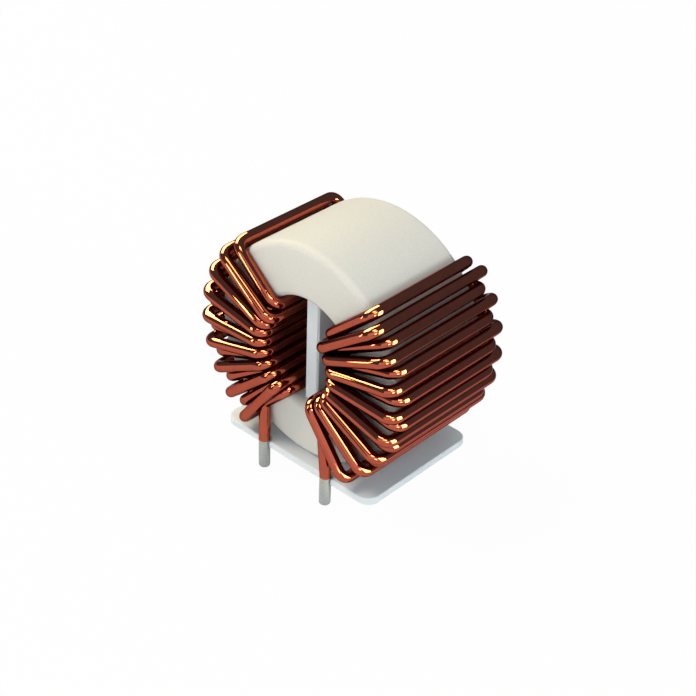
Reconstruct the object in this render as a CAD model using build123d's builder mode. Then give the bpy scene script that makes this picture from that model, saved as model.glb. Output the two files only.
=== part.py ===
from build123d import *
import os
from math import acos, atan, ceil, cos, degrees, radians, sin, sqrt, tan

# A common mode choke for a circuit board. A coated toroid core stands on edge on a
# flat base plate, with a flat divider through its bore. Each side of the core carries
# one winding of stiff enamelled wire in two layers, whose bare ends are the pins.
# Millimetres. X runs along the plate, Y along the core's axis with the front at -Y,
# Z up. The origin is the middle of the plate's underside.

# Core
core_outer_dia = 34.9
core_bore_dia = 17.9
core_width = 18.9
core_edge_radius = 1.1

# Base plate
plate_length = 30.0
plate_overhang = 1.85
plate_thickness = 1.2
plate_corner_radius = 2.05
plate_edge_chamfer = 0.15
notch_clearance = 0.175

# Divider
divider_thickness = 2.5
divider_length = 16.1
divider_edge_chamfer = 0.25

# Wire
wire_dia = 1.70
wire_sides = 10
bend_radius = 1.5
bend_step_deg = 30.0

# Places of the turns, as angles about the core's axis from the horizontal
bore_first_limit_deg = 52.0
bore_last_deg = -61.0
outer_first_deg = 45.4
outer_last_deg = -56.0

# Layers of the winding
outer_stand_off = 0.42
front_layer_rise = 1.47
fan_straight = 1.7
layer_step_start = 0.18
layer_step_end = 0.5

# Leads and pins
pin_spacing = 12.7
pin_length = 3.8
pin_tip_chamfer = 0.25
tin_thickness = 0.025
tin_below_plate = 0.2
lead_straight = 0.3
right_knee_inset = 1.85
right_knee_below_bore = 0.05
left_knee_inset = -0.9
left_knee_below_bore = 2.7
back_knee_inset = 0.6
back_knee_below_bore = 4.2

# Clearances
seat_gap = 0.05
bore_gap = 0.05
wire_gap = 0.02

# Worked out from the sizes above
core_radius = core_outer_dia / 2
bore_radius = core_bore_dia / 2
wire_radius = wire_dia / 2
pin_radius = wire_radius + tin_thickness
wire_pitch = wire_dia + wire_gap
plate_width = core_width + 2 * plate_overhang
pin_x = pin_spacing / 2
pin_y = plate_width / 2
core_height = plate_thickness + seat_gap + core_radius

# Cuts that shape an edge radius from three flats, the middle one first
middle_flat_cut = core_edge_radius * (2 - sqrt(2))
side_flat_cut = core_edge_radius * (tan(radians(22.5)) - tan(radians(11.25)))

# In the bore an over wire lies in the valley between two under wires, so that three
# touching wires make a triangle with sides of one wire pitch.
under_radius = bore_radius - wire_gap - wire_radius
half_pitch = atan(1 / (2 * under_radius / wire_pitch - sqrt(3)))
over_radius = wire_pitch / (2 * sin(half_pitch))
outer_radius = core_radius + outer_stand_off + wire_radius
fan_radius = over_radius + fan_straight

# Distances from the core's middle plane to the wire's layers on its two faces. Where a
# wire crosses another, as all do on the back, the layers are a whole wire apart.
under_face = core_width / 2 + wire_gap + wire_radius
over_front = under_face + front_layer_rise
over_crossing = under_face + wire_pitch

bore_step_deg = degrees(half_pitch)
bore_room_deg = bore_first_limit_deg - bore_last_deg
turns = 2 * int((bore_room_deg / bore_step_deg + 1) / 2)
outer_step_deg = (outer_first_deg - outer_last_deg) / (turns - 1)

# The last pass beside the divider slants: at the front it lies in the valley below the
# last over wire, and at the back it is as low as the divider lets it be.
lead_front_deg = bore_last_deg - bore_step_deg
lead_back_deg = -degrees(acos((divider_thickness / 2 + wire_gap + wire_radius) / under_radius))


def at(radius, angle, y):
    """A point by its radius and angle about the core's axis."""
    return Vector(radius * cos(radians(angle)), y, core_height + radius * sin(radians(angle)))


def bore_deg(turn):
    """Angle of a turn where it passes through the bore."""
    return bore_last_deg + (turns - turn) * bore_step_deg


def outer_deg(turn):
    """Angle of a turn on the outside of the core."""
    return outer_first_deg - (turn - 1) * outer_step_deg


def under_turn(turn):
    """Corners of a turn that lies against the core, from the back of the bore."""
    bore, outer = bore_deg(turn), outer_deg(turn)
    return [
        at(under_radius, bore, under_face),
        at(under_radius, bore, -under_face),
        at(outer_radius, outer, -under_face),
        at(outer_radius, outer, under_face),
    ]


def over_turn(turn):
    """Corners of a turn that lies over its neighbours, from the back of the bore.

    The last one also crosses over the front lead.
    """
    bore, outer = bore_deg(turn), outer_deg(turn)
    front = over_crossing if turn == turns else over_front
    return [
        at(fan_radius, bore, over_crossing),
        at(over_radius, bore, over_crossing),
        at(over_radius, bore, -front),
        at(outer_radius, outer, -front),
        at(outer_radius, outer, over_crossing),
    ]


def layer_step(share, y):
    """A point on the back face, on the way from the first turn to the second."""
    outer = at(outer_radius, outer_first_deg, y)
    return outer + (at(fan_radius, bore_deg(2), y) - outer) * share


def knee(inset, below_bore, y):
    """The bend where a lead leaves the core's face for its pin."""
    return Vector(pin_x - inset, y, core_height - bore_radius - below_bore)


def wire_corners(knee_inset, knee_below_bore):
    """Corners of the right winding's wire, which starts and ends inside its pins."""
    joint_z = -pin_length / 2
    bend_z = plate_thickness + lead_straight
    corners = [
        Vector(pin_x, pin_y, joint_z),
        Vector(pin_x, pin_y, bend_z),
        knee(back_knee_inset, back_knee_below_bore, under_face),
    ]
    for turn in range(turns - 1, 0, -2):
        corners += under_turn(turn)
    corners += [layer_step(layer_step_start, under_face), layer_step(layer_step_end, over_crossing)]
    for turn in range(2, turns + 1, 2):
        corners += over_turn(turn)
    corners += [
        at(under_radius, lead_back_deg, over_crossing),
        at(under_radius, lead_front_deg, -under_face),
        knee(knee_inset, knee_below_bore, -under_face),
        Vector(pin_x, -pin_y, bend_z),
        Vector(pin_x, -pin_y, joint_z),
    ]
    return corners


def bend(before, corner, after):
    """Mitred corners that take the wire round one bend at the bend radius."""
    into = (before - corner).normalized()
    out = (after - corner).normalized()
    turn = 180 - into.get_angle(out)
    mitres = ceil(round(turn / bend_step_deg, 2))
    if mitres < 2:
        return [corner]
    centre = corner + (into + out).normalized() * (bend_radius / cos(radians(turn / 2)))
    start = (corner + into * bend_radius * tan(radians(turn / 2)) - centre).normalized()
    axis = start.cross((out - into).normalized())
    reach = bend_radius / cos(radians(turn / mitres / 2))
    swings = [turn * (step + 0.5) / mitres for step in range(mitres)]
    return [centre + start.rotate(Axis((0, 0, 0), axis), swing) * reach for swing in swings]


def wire_route(corners):
    """The wire's centre line with every corner turned into a bend."""
    points = [corners[0]]
    for before, corner, after in zip(corners, corners[1:], corners[2:]):
        points += bend(before, corner, after)
    return points + [corners[-1]]


def wound_wire(corners):
    """A round wire, drawn with flat sides along its mitred route, and its tinned pins."""
    with BuildPart() as wire:
        with BuildLine() as route:
            Polyline(*wire_route(corners))
        with BuildSketch(Plane(origin=corners[0], z_dir=corners[1] - corners[0])) as section:
            RegularPolygon(wire_radius, wire_sides)
        sweep(path=route.line, transition=Transition.RIGHT)
        length = sum(edge.length for edge in route.edges())
        swept = length * section.sketch.area
        print(f"wire {length:.0f} mm, volume {wire.part.volume:.1f}, by section {swept:.1f}")
        with BuildSketch(Plane.XY.offset(-pin_length)):
            with Locations((pin_x, pin_y), (pin_x, -pin_y)):
                Circle(pin_radius)
        extrude(amount=pin_length - tin_below_plate)
        tips = wire.edges().group_by(Axis.Z)[0]
        chamfer(tips, pin_tip_chamfer)
    return wire.part


# Base plate, with a half-round notch in its edge for each pin
with BuildPart() as base_plate:
    with BuildSketch():
        RectangleRounded(plate_length, plate_width, plate_corner_radius)
        with GridLocations(pin_spacing, plate_width, 2, 2):
            Circle(pin_radius + notch_clearance, mode=Mode.SUBTRACT)
    extrude(amount=plate_thickness)
    rims = base_plate.faces().filter_by(Axis.Z)
    chamfer(rims.edges(), plate_edge_chamfer)

# Toroid core, turned about its axis. The coating's rounded edges are three flats each,
# which touch the edge radius in their middles.
with BuildPart() as toroid_core:
    with BuildSketch(Plane.XY.offset(core_height)) as core_section:
        with Locations(((core_radius + bore_radius) / 2, 0)):
            Rectangle(core_radius - bore_radius, core_width)
        chamfer(core_section.vertices(), middle_flat_cut)
        chamfer(core_section.vertices(), side_flat_cut)
    revolve(axis=Axis((0, 0, core_height), (0, 1, 0)))

# Divider, whose top and bottom edges follow the bore
with BuildPart() as divider:
    with BuildSketch(Plane.XZ.offset(-divider_length / 2)):
        with Locations((0, core_height)):
            Circle(bore_radius - bore_gap)
            Rectangle(divider_thickness, core_bore_dia, mode=Mode.INTERSECT)
    extrude(amount=divider_length)
    upright = divider.faces().filter_by(Axis.Y)
    chamfer(upright.edges(), divider_edge_chamfer)

# Right winding
with BuildPart() as winding_right:
    add(wound_wire(wire_corners(right_knee_inset, right_knee_below_bore)))

# Left winding, laid out on the right and mirrored
with BuildPart() as winding_left:
    add(wound_wire(wire_corners(left_knee_inset, left_knee_below_bore)))
    mirror(about=Plane.YZ, mode=Mode.REPLACE)

os.makedirs("parts", exist_ok=True)
base_plate.part.label = "base_plate"
export_step(base_plate.part, "parts/base_plate.step")
toroid_core.part.label = "toroid_core"
export_step(toroid_core.part, "parts/toroid_core.step")
divider.part.label = "divider"
export_step(divider.part, "parts/divider.step")
winding_right.part.label = "winding_right"
export_step(winding_right.part, "parts/winding_right.step")
winding_left.part.label = "winding_left"
export_step(winding_left.part, "parts/winding_left.step")
print(f"turns {turns}, bore step {bore_step_deg:.2f}, lead at {lead_back_deg:.1f}")
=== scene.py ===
"""Dresses a toroidal common mode choke with round enamelled windings, tinned pins, a coated
core, moulded plastics and a plain studio stage. Sizes are in metres, in the part's own frame.
"""

from math import acos, atan, cos, pi, radians, sin, sqrt, tan

import bmesh
import bpy
from mathutils import Matrix, Vector


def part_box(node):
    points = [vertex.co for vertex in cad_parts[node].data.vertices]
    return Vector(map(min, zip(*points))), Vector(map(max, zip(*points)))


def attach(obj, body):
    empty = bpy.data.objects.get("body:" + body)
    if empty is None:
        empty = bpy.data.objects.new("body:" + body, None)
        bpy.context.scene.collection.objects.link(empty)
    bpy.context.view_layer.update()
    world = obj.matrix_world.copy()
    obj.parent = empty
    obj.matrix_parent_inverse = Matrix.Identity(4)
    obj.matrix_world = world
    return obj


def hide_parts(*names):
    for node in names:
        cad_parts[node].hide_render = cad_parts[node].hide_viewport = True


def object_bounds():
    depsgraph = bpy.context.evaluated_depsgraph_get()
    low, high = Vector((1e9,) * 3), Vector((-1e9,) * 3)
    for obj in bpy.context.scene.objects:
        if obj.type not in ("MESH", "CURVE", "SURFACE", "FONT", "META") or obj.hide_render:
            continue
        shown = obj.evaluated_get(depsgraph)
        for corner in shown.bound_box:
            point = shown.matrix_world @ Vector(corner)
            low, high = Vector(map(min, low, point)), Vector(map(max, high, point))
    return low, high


bl_info = {
    "name": "Common Mode Choke",
    "version": (1, 0, 0),
    "blender": (4, 5, 0),
    "location": "View3D > Sidebar > Choke",
    "description": "Builds the windings, finishes and studio stage of a toroidal common mode choke",
    "category": "Object",
}

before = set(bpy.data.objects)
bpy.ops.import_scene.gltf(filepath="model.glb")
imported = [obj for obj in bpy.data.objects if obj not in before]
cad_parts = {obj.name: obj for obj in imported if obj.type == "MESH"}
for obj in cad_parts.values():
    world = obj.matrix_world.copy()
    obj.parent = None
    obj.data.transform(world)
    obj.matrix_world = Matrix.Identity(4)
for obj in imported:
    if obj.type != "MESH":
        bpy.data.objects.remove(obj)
cad_low, cad_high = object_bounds()
core_low, core_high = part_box("toroid_core")
plate_low, plate_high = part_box("base_plate")

MM = 0.001
core_centre_z = (core_low.z + core_high.z) / 2

# Fineness of the round shapes
WIRE_BEND_STEPS = 7
WIRE_SIDE_STEPS = 8
PIN_STEPS = 32
PIN_TIP_STEPS = 6
CORE_STEPS = 192
CORE_EDGE_STEPS = 8
FLOOR_STEPS = 96

# Points closer than this are one point
MERGE_DISTANCE = 0.001 * MM


class ChokeSizes(bpy.types.PropertyGroup):
    """Sizes of the core, the wire and the leads."""

    core_diameter: bpy.props.FloatProperty(
        name="Core diameter",
        description="Outside diameter of the coated ring core",
        default=core_high.x - core_low.x,
        unit="LENGTH",
    )
    core_width: bpy.props.FloatProperty(
        name="Core width",
        description="Width of the ring core along its axis",
        default=core_high.y - core_low.y,
        unit="LENGTH",
    )
    bore_diameter: bpy.props.FloatProperty(
        name="Bore diameter",
        description="Diameter of the core's bore",
        default=17.9 * MM,
        unit="LENGTH",
    )
    core_edge_radius: bpy.props.FloatProperty(
        name="Core edge radius",
        description="Radius of the coating on the core's four edges",
        default=1.1 * MM,
        unit="LENGTH",
    )
    wire_diameter: bpy.props.FloatProperty(
        name="Wire diameter",
        description="Diameter the turns are laid out for",
        default=1.70 * MM,
        unit="LENGTH",
    )
    enamel_thickness: bpy.props.FloatProperty(
        name="Enamel thickness",
        description="Thickness of the clear enamel",
        default=0.04 * MM,
        unit="LENGTH",
    )
    wire_gap: bpy.props.FloatProperty(
        name="Wire gap",
        description="Clearance between neighbouring wires",
        default=0.02 * MM,
        unit="LENGTH",
    )
    bend_radius: bpy.props.FloatProperty(
        name="Bend radius",
        description="Radius of the wire's centre line in a bend",
        default=1.5 * MM,
        unit="LENGTH",
    )
    divider_thickness: bpy.props.FloatProperty(
        name="Divider thickness",
        description="Thickness of the divider",
        default=2.5 * MM,
        unit="LENGTH",
    )
    outer_stand_off: bpy.props.FloatProperty(
        name="Outer stand-off",
        description="Gap between the core's outside and the wire",
        default=0.42 * MM,
        unit="LENGTH",
    )
    front_layer_rise: bpy.props.FloatProperty(
        name="Front layer rise",
        description="Height of the over layer above the under layer on the front",
        default=1.47 * MM,
        unit="LENGTH",
    )
    fan_straight: bpy.props.FloatProperty(
        name="Fan straight",
        description="Radial stretch of an over wire on the back before it turns aside",
        default=1.7 * MM,
        unit="LENGTH",
    )
    layer_step: bpy.props.FloatVectorProperty(
        name="Layer step",
        description="Where between the first two turns the wire starts and ends its climb",
        size=2,
        default=(0.18, 0.5),
        min=0.0,
        max=1.0,
    )
    bore_last: bpy.props.FloatProperty(
        name="Last bore angle",
        description="Angle of the last over turn in the bore",
        default=radians(-61.0),
        subtype="ANGLE",
    )
    outer_first: bpy.props.FloatProperty(
        name="First outer angle",
        description="Angle of the first turn on the outside",
        default=radians(45.4),
        subtype="ANGLE",
    )
    outer_last: bpy.props.FloatProperty(
        name="Last outer angle",
        description="Angle of the last turn on the outside",
        default=radians(-56.0),
        subtype="ANGLE",
    )
    turns: bpy.props.IntProperty(
        name="Turns",
        description="Turns of each winding",
        default=16,
        min=4,
    )
    pin_spacing: bpy.props.FloatProperty(
        name="Pin spacing",
        description="Distance between the pins along the plate",
        default=12.7 * MM,
        unit="LENGTH",
    )
    pin_length: bpy.props.FloatProperty(
        name="Pin length",
        description="Length of a pin below the plate",
        default=3.8 * MM,
        unit="LENGTH",
    )
    pin_diameter: bpy.props.FloatProperty(
        name="Pin diameter",
        description="Diameter of a tinned pin",
        default=1.75 * MM,
        unit="LENGTH",
    )
    pin_tip_radius: bpy.props.FloatProperty(
        name="Pin tip radius",
        description="Radius of the rounded edge at a pin's tip",
        default=0.3 * MM,
        unit="LENGTH",
    )
    tin_above_plate: bpy.props.FloatProperty(
        name="Tin above plate",
        description="Height to which the tin rises above the plate's top face",
        default=0.02 * MM,
        unit="LENGTH",
    )
    lead_straight: bpy.props.FloatProperty(
        name="Lead straight",
        description="Height above the plate at which a lead turns down",
        default=0.3 * MM,
        unit="LENGTH",
    )
    right_knee: bpy.props.FloatVectorProperty(
        name="Right knee",
        description="How far the right front knee lies inside of its pin and below the bore",
        size=2,
        default=(1.85 * MM, 0.05 * MM),
        unit="LENGTH",
    )
    left_knee: bpy.props.FloatVectorProperty(
        name="Left knee",
        description="How far the left front knee lies inside of its pin and below the bore",
        size=2,
        default=(-0.9 * MM, 2.7 * MM),
        unit="LENGTH",
    )
    back_knee: bpy.props.FloatVectorProperty(
        name="Back knee",
        description="How far the back knees lie inside of their pins and below the bore",
        size=2,
        default=(0.6 * MM, 4.2 * MM),
        unit="LENGTH",
    )


class ChokeFinishes(bpy.types.PropertyGroup):
    """Colours of the choke's materials."""

    copper: bpy.props.FloatVectorProperty(
        name="Copper",
        description="Copper seen through its enamel",
        subtype="COLOR",
        default=(0.50, 0.095, 0.048),
    )
    tin: bpy.props.FloatVectorProperty(
        name="Tin",
        description="Tinned wire ends",
        subtype="COLOR",
        default=(0.39, 0.40, 0.405),
    )
    coating: bpy.props.FloatVectorProperty(
        name="Coating",
        description="Coating of the core",
        subtype="COLOR",
        default=(0.77, 0.745, 0.68),
    )
    coating_grain: bpy.props.FloatVectorProperty(
        name="Coating grain",
        description="Darker grain in the coating",
        subtype="COLOR",
        default=(0.715, 0.69, 0.625),
    )
    divider: bpy.props.FloatVectorProperty(
        name="Divider",
        description="Plastic of the divider",
        subtype="COLOR",
        default=(0.75, 0.785, 0.80),
    )
    plate: bpy.props.FloatVectorProperty(
        name="Plate",
        description="Plastic of the base plate",
        subtype="COLOR",
        default=(0.82, 0.86, 0.88),
    )


class ChokeStage(bpy.types.PropertyGroup):
    """Camera, floor, room and light levels."""

    azimuth: bpy.props.FloatProperty(
        name="Azimuth",
        description="Camera direction round the part",
        default=radians(41.763),
        subtype="ANGLE",
    )
    elevation: bpy.props.FloatProperty(
        name="Elevation",
        description="Camera direction above the horizon",
        default=radians(34.102),
        subtype="ANGLE",
    )
    roll: bpy.props.FloatProperty(
        name="Roll",
        description="Camera turned about its own axis",
        default=radians(2.12),
        subtype="ANGLE",
    )
    eye: bpy.props.FloatVectorProperty(
        name="Eye",
        description="Place of the camera",
        subtype="TRANSLATION",
        unit="LENGTH",
        default=(125.783 * MM, -141.019 * MM, 143.248 * MM),
    )
    focal_length: bpy.props.FloatProperty(
        name="Focal length",
        description="Focal length in millimetres on a 36 mm sensor",
        default=79.7,
    )
    shift: bpy.props.FloatVectorProperty(
        name="Shift",
        description="Small shift of the picture's middle",
        size=2,
        default=(-0.0006, 0.0010),
    )
    floor_radius: bpy.props.FloatProperty(
        name="Floor radius",
        description="Radius of the white floor",
        default=900 * MM,
        unit="LENGTH",
    )
    floor_white: bpy.props.FloatProperty(
        name="Floor white",
        description="Share of plain white in the floor, the rest of which shows the shadow",
        default=0.97,
        min=0.0,
        max=1.0,
        subtype="FACTOR",
    )
    # The pool is painted light: a glowing patch of the floor that only reflections show
    pool_middle: bpy.props.FloatVectorProperty(
        name="Pool middle",
        description="Middle of the lit pool on the floor that glossy surfaces mirror",
        size=3,
        subtype="TRANSLATION",
        unit="LENGTH",
        default=(-180 * MM, -180 * MM, 0.0),
    )
    pool_radius: bpy.props.FloatProperty(
        name="Pool radius",
        description="Radius of the lit pool",
        default=309 * MM,
        unit="LENGTH",
    )
    pool_edge: bpy.props.FloatProperty(
        name="Pool edge",
        description="Half the width of the pool's soft edge",
        default=14 * MM,
        unit="LENGTH",
    )
    pool_level: bpy.props.FloatProperty(
        name="Pool level",
        description="Brightness of the lit pool",
        default=0.85,
    )
    ambient: bpy.props.FloatVectorProperty(
        name="Ambient",
        description="Even light from all round",
        subtype="COLOR",
        default=(0.385, 0.42, 0.445),
    )
    dark_room: bpy.props.FloatVectorProperty(
        name="Dark room",
        description="Room that glossy surfaces mirror",
        subtype="COLOR",
        default=(0.118, 0.185, 0.245),
    )
    key_level: bpy.props.FloatProperty(
        name="Key level",
        description="Light of the key on matt surfaces",
        default=0.49,
    )
    key_warmth: bpy.props.FloatVectorProperty(
        name="Key warmth",
        description="Colour of the key light",
        subtype="COLOR",
        default=(1.0, 0.87, 0.74),
    )
    front_fill_level: bpy.props.FloatProperty(
        name="Front fill level",
        description="Light of the front fill on matt surfaces",
        default=0.16,
    )
    right_fill_level: bpy.props.FloatProperty(
        name="Right fill level",
        description="Light of the right fill on matt surfaces",
        default=0.272,
    )
    fill_colour: bpy.props.FloatVectorProperty(
        name="Fill colour",
        description="Colour of the fills",
        subtype="COLOR",
        default=(0.90, 0.97, 1.0),
    )
    lamp_level: bpy.props.FloatProperty(
        name="Lamp level",
        description="Brightness of the lamps that the wires mirror",
        default=20.0,
    )
    lamp_colour: bpy.props.FloatVectorProperty(
        name="Lamp colour",
        description="Colour of those lamps",
        subtype="COLOR",
        default=(1.0, 0.96, 0.48),
    )
    card_level: bpy.props.FloatProperty(
        name="Card level",
        description="Brightness of the card that the wires mirror",
        default=0.7225,
    )
    card_colour: bpy.props.FloatVectorProperty(
        name="Card colour",
        description="Colour of the card that the wires mirror",
        subtype="COLOR",
        default=(1.0, 1.0, 1.0),
    )


# Wire route


class WireLayout:
    """Radii, planes and angles of the two layers of wire, for a winding on the right."""

    def __init__(self, sizes):
        self.sizes = sizes
        radius = sizes.wire_diameter / 2
        pitch = sizes.wire_diameter + sizes.wire_gap
        self.under_radius = sizes.bore_diameter / 2 - sizes.wire_gap - radius

        # In the bore an over wire lies in the valley between two under wires, so that
        # three touching wires make a triangle with sides of one pitch.
        self.bore_step = atan(1 / (2 * self.under_radius / pitch - sqrt(3)))
        self.over_radius = pitch / (2 * sin(self.bore_step))

        self.outer_radius = sizes.core_diameter / 2 + sizes.outer_stand_off + radius
        self.outer_step = (sizes.outer_first - sizes.outer_last) / (sizes.turns - 1)
        self.fan_radius = self.over_radius + sizes.fan_straight
        self.under_face = sizes.core_width / 2 + sizes.wire_gap + radius
        self.over_front = self.under_face + sizes.front_layer_rise
        self.over_crossing = self.under_face + pitch

        # The last pass through the bore slants: beside the divider at the back, and in
        # the valley below the last over wire at the front.
        beside_divider = sizes.divider_thickness / 2 + sizes.wire_gap + radius
        self.lead_back = -acos(beside_divider / self.under_radius)
        self.lead_front = sizes.bore_last - self.bore_step

        self.pin_x = sizes.pin_spacing / 2
        self.pin_y = plate_high.y

    def at(self, radius, angle, y):
        """A point by its radius and angle about the core's axis."""
        return Vector((radius * cos(angle), y, core_centre_z + radius * sin(angle)))

    def bore(self, turn):
        """Angle of a turn where it passes through the bore."""
        return self.sizes.bore_last + (self.sizes.turns - turn) * self.bore_step

    def outer(self, turn):
        """Angle of a turn on the outside of the core."""
        return self.sizes.outer_first - (turn - 1) * self.outer_step

    def knee(self, inset_and_drop, y):
        """The bend where a lead leaves the core's face for its pin."""
        inset, drop = inset_and_drop
        return Vector((self.pin_x - inset, y, core_centre_z - self.sizes.bore_diameter / 2 - drop))

    def under_turn(self, turn):
        """Corners of a turn that lies against the core, from the back of the bore."""
        bore, outer = self.bore(turn), self.outer(turn)
        return [
            self.at(self.under_radius, bore, self.under_face),
            self.at(self.under_radius, bore, -self.under_face),
            self.at(self.outer_radius, outer, -self.under_face),
            self.at(self.outer_radius, outer, self.under_face),
        ]

    def over_turn(self, turn):
        """Corners of a turn that lies over its neighbours, from the back of the bore.

        The last one also crosses over the front lead.
        """
        bore, outer = self.bore(turn), self.outer(turn)
        front = self.over_crossing if turn == self.sizes.turns else self.over_front
        return [
            self.at(self.fan_radius, bore, self.over_crossing),
            self.at(self.over_radius, bore, self.over_crossing),
            self.at(self.over_radius, bore, -front),
            self.at(self.outer_radius, outer, -front),
            self.at(self.outer_radius, outer, self.over_crossing),
        ]

    def layer_step(self, share, y):
        """A point on the back, on the way from the first turn to the second."""
        first = self.at(self.outer_radius, self.outer(1), y)
        return first.lerp(self.at(self.fan_radius, self.bore(2), y), share)

    def corners(self, front_knee):
        """Corners of the whole wire, from the back pin to the front pin."""
        sizes = self.sizes
        bend_z = plate_high.z + sizes.lead_straight
        end_z = plate_high.z
        climb_start, climb_end = sizes.layer_step
        corners = [
            Vector((self.pin_x, self.pin_y, end_z)),
            Vector((self.pin_x, self.pin_y, bend_z)),
            self.knee(sizes.back_knee, self.under_face),
        ]
        for turn in range(sizes.turns - 1, 0, -2):
            corners += self.under_turn(turn)
        corners += [
            self.layer_step(climb_start, self.under_face),
            self.layer_step(climb_end, self.over_crossing),
        ]
        for turn in range(2, sizes.turns + 1, 2):
            corners += self.over_turn(turn)
        return corners + [
            self.at(self.under_radius, self.lead_back, self.over_crossing),
            self.at(self.under_radius, self.lead_front, -self.under_face),
            self.knee(front_knee, -self.under_face),
            Vector((self.pin_x, -self.pin_y, bend_z)),
            Vector((self.pin_x, -self.pin_y, end_z)),
        ]


def bend_knots(before, corner, after, bend_radius):
    """Start and end of one bend, each with its place and its two handles."""
    into = (before - corner).normalized()
    out = (after - corner).normalized()
    turn = pi - into.angle(out)
    reach = bend_radius * tan(turn / 2)
    handle = bend_radius * tan(turn / 4) * 4 / 3
    start = corner + into * reach
    end = corner + out * reach
    return [
        (start, start + into * handle, start - into * handle),
        (end, end - out * handle, end + out * handle),
    ]


def bent_wire(name, corners, bend_radius, wire_radius, side):
    """A round wire as a mesh, straight between its corners and bent round each of them.

    The side is 1 for the right and -1 for the left, where the wire is mirrored.
    """
    knots = [(corners[0], corners[0], corners[0])]
    for before, corner, after in zip(corners, corners[1:], corners[2:]):
        knots += bend_knots(before, corner, after, bend_radius)
    knots.append((corners[-1], corners[-1], corners[-1]))
    curve = bpy.data.curves.new(name, "CURVE")
    curve.dimensions = "3D"
    curve.resolution_u = WIRE_BEND_STEPS
    curve.bevel_depth = wire_radius
    curve.bevel_resolution = WIRE_SIDE_STEPS
    curve.use_fill_caps = True
    spline = curve.splines.new("BEZIER")
    spline.bezier_points.add(len(knots) - 1)
    mirror = Vector((side, 1, 1))
    for point, (place, left, right) in zip(spline.bezier_points, knots):
        point.handle_left_type = "FREE"
        point.handle_right_type = "FREE"
        point.co = place * mirror
        point.handle_left = left * mirror
        point.handle_right = right * mirror
    drawn = bpy.data.objects.new(name, curve)
    bpy.context.scene.collection.objects.link(drawn)
    bpy.context.view_layer.update()
    shown = drawn.evaluated_get(bpy.context.evaluated_depsgraph_get())
    mesh = bpy.data.meshes.new_from_object(shown)
    bpy.data.objects.remove(drawn)
    bpy.data.curves.remove(curve)
    return mesh


# Meshes


def finished_mesh(bm, name):
    """Turns a bmesh into a mesh."""
    mesh = bpy.data.meshes.new(name)
    bm.to_mesh(mesh)
    bm.free()
    return mesh


def spin_round(bm, outline, centre, axis, steps):
    """Spins an outline once round an axis, closes the seam and turns the faces outwards."""
    bmesh.ops.spin(
        bm,
        geom=outline,
        cent=centre,
        axis=axis,
        dvec=(0, 0, 0),
        angle=2 * pi,
        steps=steps,
        use_merge=True,
    )
    bmesh.ops.remove_doubles(bm, verts=bm.verts, dist=MERGE_DISTANCE)
    bmesh.ops.recalc_face_normals(bm, faces=bm.faces)


def add_tinned_pin(bm, sizes, place):
    """Adds one tinned pin with a rounded tip to a winding."""
    radius = sizes.pin_diameter / 2
    tip_round = sizes.pin_tip_radius
    tip_z = plate_low.z - sizes.pin_length
    top_z = plate_high.z + sizes.tin_above_plate
    profile = [Vector((0, 0, tip_z))]
    for step in range(PIN_TIP_STEPS + 1):
        angle = pi / 2 * step / PIN_TIP_STEPS
        out = radius - tip_round * (1 - sin(angle))
        up = tip_z + tip_round * (1 - cos(angle))
        profile.append(Vector((out, 0, up)))
    profile += [Vector((radius, 0, top_z)), Vector((0, 0, top_z))]
    pin = bmesh.new()
    verts = [pin.verts.new(point + place) for point in profile]
    edges = [pin.edges.new(pair) for pair in zip(verts, verts[1:])]
    spin_round(pin, verts + edges, place, (0, 0, 1), PIN_STEPS)
    mesh = finished_mesh(pin, "pin")
    bm.from_mesh(mesh)
    bpy.data.meshes.remove(mesh)


def winding_mesh(name, layout, front_knee, side):
    """One wire and its two tinned pins, which take the second material."""
    sizes = layout.sizes
    wire_radius = sizes.wire_diameter / 2 + sizes.enamel_thickness
    wire = bent_wire(name, layout.corners(front_knee), sizes.bend_radius, wire_radius, side)
    bm = bmesh.new()
    bm.from_mesh(wire)
    bpy.data.meshes.remove(wire)
    bmesh.ops.recalc_face_normals(bm, faces=bm.faces)
    wire_faces = len(bm.faces)
    for y in (-layout.pin_y, layout.pin_y):
        add_tinned_pin(bm, sizes, Vector((side * layout.pin_x, y, 0)))
    bm.faces.ensure_lookup_table()
    for face in bm.faces[wire_faces:]:
        face.material_index = 1
    for face in bm.faces:
        is_end_cap = len(face.verts) > 4
        face.smooth = not is_end_cap
    return finished_mesh(bm, name)


def core_mesh(name, sizes):
    """The coated ring: a rectangle with rounded corners, spun about the core's axis."""
    half_width = sizes.core_width / 2
    outer = sizes.core_diameter / 2
    inner = sizes.bore_diameter / 2
    bm = bmesh.new()
    section = [(inner, -half_width), (outer, -half_width), (outer, half_width), (inner, half_width)]
    bm.faces.new([bm.verts.new((radius, y, core_centre_z)) for radius, y in section])
    bmesh.ops.bevel(
        bm,
        geom=bm.verts[:],
        offset=sizes.core_edge_radius,
        segments=CORE_EDGE_STEPS,
        profile=0.5,
        affect="VERTICES",
        material=-1,
    )
    bmesh.ops.delete(bm, geom=bm.faces[:], context="FACES_ONLY")
    outline = bm.verts[:] + bm.edges[:]
    spin_round(bm, outline, (0, 0, core_centre_z), (0, 1, 0), CORE_STEPS)
    for face in bm.faces:
        face.smooth = True
    return finished_mesh(bm, name)


def add_piece(name, mesh, slot, *nodes):
    """Links a mesh as a piece that stands for CAD nodes, and hides those nodes. The slot is not
    used.
    """
    piece = bpy.data.objects.new(name, mesh)
    bpy.context.scene.collection.objects.link(piece)
    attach(piece, "root")
    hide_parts(*nodes)
    return piece


# Materials


def new_material(name):
    """A node material, with its tree and its shader."""
    material = bpy.data.materials.new(name)
    material.use_nodes = True
    tree = material.node_tree
    return material, tree, tree.nodes["Principled BSDF"]


def set_inputs(node, values):
    """Sets a node's sockets to plain values, by their names."""
    for name, value in values.items():
        node.inputs[name].default_value = value


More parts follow.
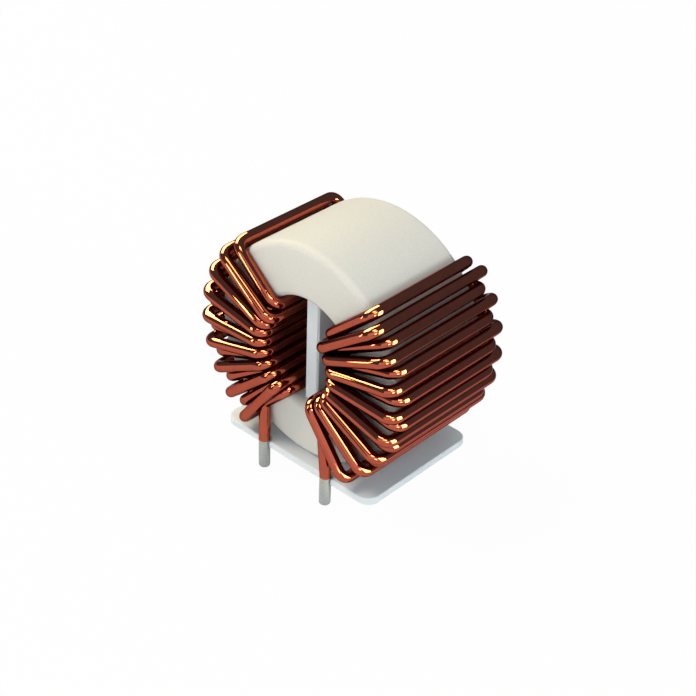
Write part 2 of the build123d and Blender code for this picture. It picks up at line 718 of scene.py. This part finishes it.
def feed(tree, socket, value):
    """Links a socket to another node's output, or sets it to a number."""
    if isinstance(value, bpy.types.NodeSocket):
        tree.links.new(value, socket)
    else:
        socket.default_value = value


def link_math(tree, operation, *terms):
    """A math node on sockets and numbers."""
    node = tree.nodes.new("ShaderNodeMath")
    node.operation = operation
    for socket, term in zip(node.inputs, terms):
        feed(tree, socket, term)
    return node.outputs["Value"]


def link_noise(tree, scale, detail, roughness=0.5):
    """Noise on object coordinates, in features per metre."""
    place = tree.nodes.new("ShaderNodeTexCoord")
    noise = tree.nodes.new("ShaderNodeTexNoise")
    set_inputs(noise, {"Scale": scale, "Detail": detail, "Roughness": roughness})
    tree.links.new(place.outputs["Object"], noise.inputs["Vector"])
    return noise.outputs["Fac"]


def link_ramp(tree, value, low, high):
    """A colour ramp over a value, between two pairs of position and colour."""
    ramp = tree.nodes.new("ShaderNodeValToRGB")
    for element, (position, colour) in zip(ramp.color_ramp.elements, (low, high)):
        element.position = position
        element.color = (*colour, 1)
    tree.links.new(value, ramp.inputs["Fac"])
    return ramp.outputs["Color"]


def link_colour(tree, shader, value, low, high):
    """Varies a surface's colour with a value."""
    tree.links.new(link_ramp(tree, value, low, high), shader.inputs["Base Color"])


def link_roughness(tree, shader, value, low, high):
    """Varies a surface's roughness with a value from 0 to 1."""
    spread = tree.nodes.new("ShaderNodeMapRange")
    set_inputs(spread, {"To Min": low, "To Max": high})
    tree.links.new(value, spread.inputs["Value"])
    tree.links.new(spread.outputs["Result"], shader.inputs["Roughness"])


def link_bump(tree, shader, height, strength, distance):
    """Gives a surface a fine relief."""
    bump = tree.nodes.new("ShaderNodeBump")
    set_inputs(bump, {"Strength": strength, "Distance": distance})
    tree.links.new(height, bump.inputs["Height"])
    tree.links.new(bump.outputs["Normal"], shader.inputs["Normal"])


def link_mix(tree, factor, first, second):
    """Mixes two shaders by a number or a socket."""
    mix = tree.nodes.new("ShaderNodeMixShader")
    feed(tree, mix.inputs["Fac"], factor)
    tree.links.new(first, mix.inputs[1])
    tree.links.new(second, mix.inputs[2])
    return mix.outputs["Shader"]


def first_bounce(tree):
    """1 where a surface in view mirrors the stage, and 0 in mirror images of mirror images.

    A matt bounce counts two and a glossy one counts one.
    """
    rays = tree.nodes.new("ShaderNodeLightPath")
    matt, glossy = rays.outputs["Diffuse Depth"], rays.outputs["Glossy Depth"]
    bounces = link_math(tree, "MULTIPLY_ADD", matt, 2.0, glossy)
    return link_math(tree, "LESS_THAN", bounces, 1.5)


def shade(colour, factor):
    """A colour made lighter or darker."""
    return tuple(channel * factor for channel in colour)


def enamelled_copper(finishes):
    """Copper under clear enamel: mirror-like, with a faint drawing grain."""
    material, tree, shader = new_material("enamelled_copper")
    copper = finishes.copper
    grain = link_noise(tree, scale=900.0, detail=3.0)
    link_colour(tree, shader, grain, (0.3, shade(copper, 0.94)), (0.7, shade(copper, 1.06)))
    link_roughness(tree, shader, grain, low=0.015, high=0.04)
    surface = {
        "Metallic": 1.0,
        "Specular Tint": (0.25, 0.25, 0.27, 1),
        "Coat Weight": 0.2,
        "Coat Roughness": 0.02,
        "Coat IOR": 1.5,
    }
    set_inputs(shader, surface)
    return material


def tinned_copper(finishes):
    """Dull tin over the bare wire ends."""
    material, tree, shader = new_material("tinned_copper")
    tin = finishes.tin
    grain = link_noise(tree, scale=2600.0, detail=4.0)
    link_colour(tree, shader, grain, (0.3, shade(tin, 0.9)), (0.7, shade(tin, 1.1)))
    link_roughness(tree, shader, grain, low=0.42, high=0.58)
    set_inputs(shader, {"Metallic": 0.1, "Specular IOR Level": 0.25})
    link_bump(tree, shader, grain, strength=0.25, distance=0.03 * MM)
    return material


def core_coating(finishes):
    """Powder coating with a fine grain."""
    material, tree, shader = new_material("core_coating")
    grain = link_noise(tree, scale=5600.0, detail=2.0, roughness=0.6)
    link_colour(tree, shader, grain, (0.36, finishes.coating_grain), (0.56, finishes.coating))
    set_inputs(shader, {"Roughness": 0.6, "Specular IOR Level": 0.1})
    link_bump(tree, shader, grain, strength=0.25, distance=0.04 * MM)
    return material


def moulded_plastic(name, colour, roughness):
    """Moulded plastic with a faint cloudiness and the fine texture of its mould."""
    material, tree, shader = new_material(name)
    cloud = link_noise(tree, scale=260.0, detail=3.0)
    link_colour(tree, shader, cloud, (0.3, shade(colour, 0.97)), (0.7, shade(colour, 1.02)))
    set_inputs(shader, {"Roughness": roughness, "Specular IOR Level": 0.12})
    texture = link_noise(tree, scale=4200.0, detail=2.0)
    link_bump(tree, shader, texture, strength=0.12, distance=0.02 * MM)
    return material


def add_materials(piece, *materials):
    """Gives a new piece its materials."""
    for material in materials:
        piece.data.materials.append(material)


def renew_material(node, material):
    """Gives a CAD node its finish."""
    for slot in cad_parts[node].material_slots:
        slot.material = material


# Operators


class CHOKE_OT_windings(bpy.types.Operator):
    """Build both windings as round enamelled wires with tinned pins"""

    bl_idname = "choke.windings"
    bl_label = "Windings"

    def execute(self, context):
        sizes = context.scene.choke_sizes
        finishes = context.scene.choke_finishes
        copper = enamelled_copper(finishes)
        tin = tinned_copper(finishes)
        layout = WireLayout(sizes)
        sides = (
            ("winding_right", sizes.right_knee, 1),
            ("winding_left", sizes.left_knee, -1),
        )
        for node, front_knee, side in sides:
            mesh = winding_mesh(node, layout, front_knee, side)
            piece = add_piece(node + "_wire", mesh, "enamelled_copper", node)
            add_materials(piece, copper, tin)
        return {"FINISHED"}


class CHOKE_OT_core(bpy.types.Operator):
    """Build the coated ring core with rounded edges"""

    bl_idname = "choke.core"
    bl_label = "Core"

    def execute(self, context):
        mesh = core_mesh("coated_core", context.scene.choke_sizes)
        piece = add_piece("coated_core", mesh, "core_coating", "toroid_core")
        add_materials(piece, core_coating(context.scene.choke_finishes))
        return {"FINISHED"}


class CHOKE_OT_plastics(bpy.types.Operator):
    """Give the base plate and the divider their plastics"""

    bl_idname = "choke.plastics"
    bl_label = "Plate and divider"

    def execute(self, context):
        finishes = context.scene.choke_finishes
        plate = moulded_plastic("plate_plastic", finishes.plate, roughness=0.42)
        divider = moulded_plastic("divider_plastic", finishes.divider, roughness=0.3)
        renew_material("base_plate", plate)
        renew_material("divider", divider)
        return {"FINISHED"}


class CHOKE_OT_stage(bpy.types.Operator):
    """Set up the camera, the floor, the room and the lamps"""

    bl_idname = "choke.stage"
    bl_label = "Stage"

    def execute(self, context):
        stage = context.scene.choke_stage
        self.add_camera(context, stage)
        self.add_floor(context, stage)
        self.add_room(context, stage)
        self.add_matt_lamps(context, stage)
        self.add_mirrored_lamps(context, stage)
        context.scene.view_settings.view_transform = "Standard"
        return {"FINISHED"}

    def direction(self, azimuth, elevation):
        """Unit vector by its angle round the choke from the front and above the horizon."""
        level = cos(elevation)
        return Vector((sin(azimuth) * level, -cos(azimuth) * level, sin(elevation)))

    def add_camera(self, context, stage):
        """The camera at the photograph's viewing angle."""
        back = self.direction(stage.azimuth, stage.elevation)
        level = Vector((cos(stage.azimuth), sin(stage.azimuth), 0))
        right = level * cos(stage.roll) + back.cross(level) * sin(stage.roll)
        camera = bpy.data.cameras.new("camera")
        camera.sensor_fit = "HORIZONTAL"
        camera.sensor_width = 36.0
        camera.lens = stage.focal_length
        camera.shift_x, camera.shift_y = stage.shift
        camera.clip_start = 10 * MM
        camera.clip_end = 10.0
        eye = bpy.data.objects.new("camera", camera)
        turned = Matrix((right, back.cross(right), back)).transposed().to_4x4()
        eye.matrix_world = Matrix.Translation(Vector(stage.eye)) @ turned
        context.scene.collection.objects.link(eye)
        context.scene.camera = eye

    def add_floor(self, context, stage):
        """The floor at the pins' tips: white in view, and in reflections a painted pool of light.
        """
        bm = bmesh.new()
        bmesh.ops.create_circle(
            bm,
            cap_ends=True,
            segments=FLOOR_STEPS,
            radius=stage.floor_radius,
            matrix=Matrix.Translation((0, 0, cad_low.z)),
        )
        floor = bpy.data.objects.new("floor", finished_mesh(bm, "floor"))
        context.scene.collection.objects.link(floor)
        material, tree, shader = new_material("floor")
        surface = {"Base Color": (0.9, 0.9, 0.9, 1), "Roughness": 0.9, "Specular IOR Level": 0.0}
        set_inputs(shader, surface)
        lit = shader.outputs["BSDF"]
        white = tree.nodes.new("ShaderNodeEmission")
        backdrop = link_mix(tree, stage.floor_white, lit, white.outputs["Emission"])
        # Painted pool of light: the floor glows for glossy rays, though it is no lamp
        pool = tree.nodes.new("ShaderNodeEmission")
        tree.links.new(self.painted_pool_colour(tree, stage), pool.inputs["Color"])
        rays = tree.nodes.new("ShaderNodeLightPath")
        seen = link_mix(tree, rays.outputs["Is Camera Ray"], lit, backdrop)
        mirrored = link_mix(tree, rays.outputs["Is Glossy Ray"], seen, pool.outputs["Emission"])
        tree.links.new(mirrored, tree.nodes["Material Output"].inputs["Surface"])
        add_materials(floor, material)

    def painted_pool_colour(self, tree, stage):
        """Painted pool of light: white glow inside the pool, the dark room's colour outside."""
        place = tree.nodes.new("ShaderNodeTexCoord")
        distance = tree.nodes.new("ShaderNodeVectorMath")
        distance.operation = "DISTANCE"
        distance.inputs[1].default_value = (stage.pool_middle[0], stage.pool_middle[1], cad_low.z)
        tree.links.new(place.outputs["Object"], distance.inputs[0])
        inside = tree.nodes.new("ShaderNodeMapRange")
        inside.interpolation_type = "SMOOTHSTEP"
        inside.inputs["From Min"].default_value = stage.pool_radius + stage.pool_edge
        inside.inputs["From Max"].default_value = stage.pool_radius - stage.pool_edge
        tree.links.new(distance.outputs["Value"], inside.inputs["Value"])
        shown = link_math(tree, "MULTIPLY", inside.outputs["Result"], first_bounce(tree))
        white = shade((1, 1, 1), stage.pool_level)
        return link_ramp(tree, shown, (0.0, stage.dark_room), (1.0, white))

    def add_room(self, context, stage):
        """White for the camera, a dark room for glossy surfaces and even light for the rest."""
        world = bpy.data.worlds.new("room")
        world.use_nodes = True
        tree = world.node_tree
        even = tree.nodes["Background"]
        even.inputs["Color"].default_value = (*stage.ambient, 1)
        white = tree.nodes.new("ShaderNodeBackground")
        white.inputs["Color"].default_value = (1, 1, 1, 1)
        dark = tree.nodes.new("ShaderNodeBackground")
        dark.inputs["Color"].default_value = (*stage.dark_room, 1)
        rays = tree.nodes.new("ShaderNodeLightPath")
        glossy, camera = rays.outputs["Is Glossy Ray"], rays.outputs["Is Camera Ray"]
        unseen = link_mix(tree, glossy, even.outputs["Background"], dark.outputs["Background"])
        shown = link_mix(tree, camera, unseen, white.outputs["Background"])
        tree.links.new(shown, tree.nodes["World Output"].inputs["Surface"])
        context.scene.world = world

    def add_matt_lamps(self, context, stage):
        """A warm key and cool fills, which light the matt surfaces and show in no reflection."""
        # Name, azimuth and elevation in degrees, distance, size, level, colour
        lamps = (
            ("key", -62, 50, 0.7, (0.34, 0.34), stage.key_level, stage.key_warmth),
            ("front_fill", 15, 15, 0.7, (0.50, 0.30), stage.front_fill_level, stage.fill_colour),
            ("right_fill", 95, 16, 0.7, (0.40, 0.20), stage.right_fill_level, stage.fill_colour),
        )
        for name, azimuth, elevation, distance, size, level, colour in lamps:
            lamp = self.add_lamp(context, name, azimuth, elevation, distance, size, colour)
            lamp.data.energy = level * 4 * pi * distance**2
            lamp.visible_glossy = False

    def add_mirrored_lamps(self, context, stage):
        """The lamps and the pale card that the wires mirror, which light no matt surface."""
        level, colour = stage.lamp_level, stage.lamp_colour
        # Name, azimuth and elevation in degrees, distance, size, level, colour
        lamps = (
            ("left_softbox", -97, 42, 0.45, (0.48, 0.28), level, colour),
            ("front_strip", -24, 14, 0.040, (0.003, 0.013), level, colour),
            ("right_strip", 94, 2, 0.10, (0.044, 0.10), level, colour),
            ("corner_strip", 60, 8, 0.10, (0.020, 0.012), level, colour),
            ("top_strip", 30, 62, 0.40, (0.15, 0.10), level / 2, colour),
            ("front_card", 46, 17, 0.30, (0.56, 0.24), stage.card_level, stage.card_colour),
            ("card_strip", 55, 43.5, 0.335, (0.11, 0.040), level, colour),
        )
        for name, azimuth, elevation, distance, size, level, colour in lamps:
            lamp = self.add_lamp(context, name, azimuth, elevation, distance, size, colour)
            width, height = size
            lamp.data.energy = level * 4 * width * height
            lamp.data.use_nodes = True
            tree = lamp.data.node_tree
            tree.links.new(first_bounce(tree), tree.nodes["Emission"].inputs["Strength"])
            lamp.visible_diffuse = False

    def add_lamp(self, context, name, azimuth, elevation, distance, size, colour):
        """A rectangular lamp aimed at the middle of the core, by its direction in degrees."""
        out = self.direction(radians(azimuth), radians(elevation))
        light = bpy.data.lights.new(name, "AREA")
        light.shape = "RECTANGLE"
        light.size, light.size_y = size
        light.color = colour
        lamp = bpy.data.objects.new(name, light)
        lamp.location = Vector((0, 0, core_centre_z)) + out * distance
        lamp.rotation_euler = out.to_track_quat("Z", "Y").to_euler()
        lamp.visible_camera = False
        lamp.visible_transmission = False
        context.scene.collection.objects.link(lamp)
        return lamp


class CHOKE_PT_panel(bpy.types.Panel):
    """Sizes, finishes and stage of the choke"""

    bl_idname = "CHOKE_PT_panel"
    bl_label = "Common Mode Choke"
    bl_space_type = "VIEW_3D"
    bl_region_type = "UI"
    bl_category = "Choke"

    def draw(self, context):
        for group in (getattr(context.scene, name) for name in GROUPS):
            box = self.layout.box()
            for name in group.bl_rna.properties.keys():
                if name not in ("rna_type", "name"):
                    box.prop(group, name)
        for operator in OPERATORS:
            self.layout.operator(operator.bl_idname)


GROUPS = {"choke_sizes": ChokeSizes, "choke_finishes": ChokeFinishes, "choke_stage": ChokeStage}
OPERATORS = (CHOKE_OT_windings, CHOKE_OT_core, CHOKE_OT_plastics, CHOKE_OT_stage)


def register():
    for name, group in GROUPS.items():
        bpy.utils.register_class(group)
        setattr(bpy.types.Scene, name, bpy.props.PointerProperty(type=group))
    for operator in OPERATORS:
        bpy.utils.register_class(operator)
    bpy.utils.register_class(CHOKE_PT_panel)


def unregister():
    bpy.utils.unregister_class(CHOKE_PT_panel)
    for operator in reversed(OPERATORS):
        bpy.utils.unregister_class(operator)
    for name, group in reversed(GROUPS.items()):
        delattr(bpy.types.Scene, name)
        bpy.utils.unregister_class(group)


def main():
    register()
    bpy.ops.choke.windings()
    bpy.ops.choke.core()
    bpy.ops.choke.plastics()
    bpy.ops.choke.stage()


if __name__ == "__main__":
    main()
